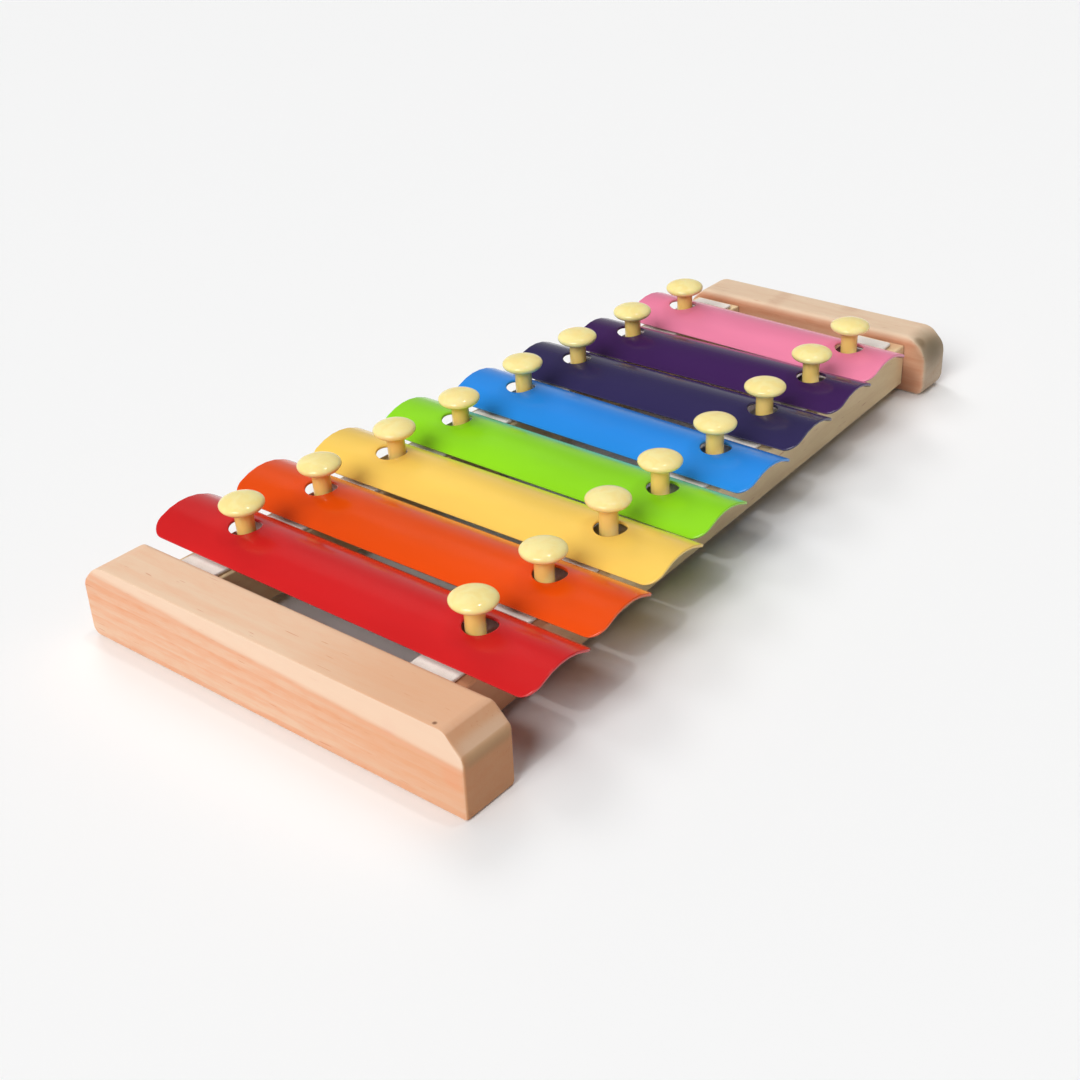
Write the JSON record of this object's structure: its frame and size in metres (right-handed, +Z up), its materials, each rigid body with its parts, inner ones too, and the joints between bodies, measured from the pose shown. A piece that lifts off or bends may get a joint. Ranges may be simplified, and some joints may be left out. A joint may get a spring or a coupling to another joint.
{
  "type": "toy xylophone",
  "caption": "Toy xylophone: arched painted metal bars held loosely by mushroom pins on two tapering wooden rails between wooden end blocks.",
  "frame": {"origin": "on the surface that the end blocks stand on, under the middle of the object", "axes": "+X along the object from the low (longest) bar to the high (shortest) bar, +Y along the bars from the front rail to the rear rail, +Z up"},
  "size_m": [0.2428, 0.1202, 0.0311],
  "materials": {
    "block_wood": "smooth pale hardwood, clear matt lacquer",
    "rail_wood": "smooth pale hardwood, unlacquered",
    "dowel_wood": "plain turned dowel",
    "foam": "soft off-white felt-like foam",
    "pin_plastic": "glossy moulded cream plastic",
    "enamel_red": "glossy red enamel on sheet steel",
    "enamel_orange": "glossy orange enamel on sheet steel",
    "enamel_yellow": "glossy yellow enamel on sheet steel",
    "enamel_green": "glossy green enamel on sheet steel",
    "enamel_blue": "glossy blue enamel on sheet steel",
    "enamel_indigo": "glossy indigo enamel on sheet steel",
    "enamel_purple": "glossy purple enamel on sheet steel",
    "enamel_pink": "glossy pink enamel on sheet steel"
  },
  "bodies": {
    "frame": {"low_end_block": "block_wood", "high_end_block": "block_wood", "front_rail": "rail_wood", "front_foam_strip": "foam", "rear_rail": "rail_wood", "rear_foam_strip": "foam", "low_front_dowel": "dowel_wood", "low_rear_dowel": "dowel_wood", "high_front_dowel": "dowel_wood", "high_rear_dowel": "dowel_wood", "front_pin_1": "pin_plastic", "rear_pin_1": "pin_plastic", "front_pin_2": "pin_plastic", "rear_pin_2": "pin_plastic", "front_pin_3": "pin_plastic", "rear_pin_3": "pin_plastic", "front_pin_4": "pin_plastic", "rear_pin_4": "pin_plastic", "front_pin_5": "pin_plastic", "rear_pin_5": "pin_plastic", "front_pin_6": "pin_plastic", "rear_pin_6": "pin_plastic", "front_pin_7": "pin_plastic", "rear_pin_7": "pin_plastic", "front_pin_8": "pin_plastic", "rear_pin_8": "pin_plastic"},
    "bar_red": {"bar_red": "enamel_red"},
    "bar_orange": {"bar_orange": "enamel_orange"},
    "bar_yellow": {"bar_yellow": "enamel_yellow"},
    "bar_green": {"bar_green": "enamel_green"},
    "bar_blue": {"bar_blue": "enamel_blue"},
    "bar_indigo": {"bar_indigo": "enamel_indigo"},
    "bar_purple": {"bar_purple": "enamel_purple"},
    "bar_pink": {"bar_pink": "enamel_pink"}
  },
  "joints": [
    {"name": "red_bar_lift", "type": "slide", "parent": "frame", "child": "bar_red", "axis": [0, 0, 1], "range_m": [0, 0.0042]},
    {"name": "orange_bar_lift", "type": "slide", "parent": "frame", "child": "bar_orange", "axis": [0, 0, 1], "range_m": [0, 0.0039]},
    {"name": "yellow_bar_lift", "type": "slide", "parent": "frame", "child": "bar_yellow", "axis": [0, 0, 1], "range_m": [0, 0.0042]},
    {"name": "green_bar_lift", "type": "slide", "parent": "frame", "child": "bar_green", "axis": [0, 0, 1], "range_m": [0, 0.0039]},
    {"name": "blue_bar_lift", "type": "slide", "parent": "frame", "child": "bar_blue", "axis": [0, 0, 1], "range_m": [0, 0.0045]},
    {"name": "indigo_bar_lift", "type": "slide", "parent": "frame", "child": "bar_indigo", "axis": [0, 0, 1], "range_m": [0, 0.0045]},
    {"name": "purple_bar_lift", "type": "slide", "parent": "frame", "child": "bar_purple", "axis": [0, 0, 1], "range_m": [0, 0.0042]},
    {"name": "pink_bar_lift", "type": "slide", "parent": "frame", "child": "bar_pink", "axis": [0, 0, 1], "range_m": [0, 0.0036]}
  ]
}
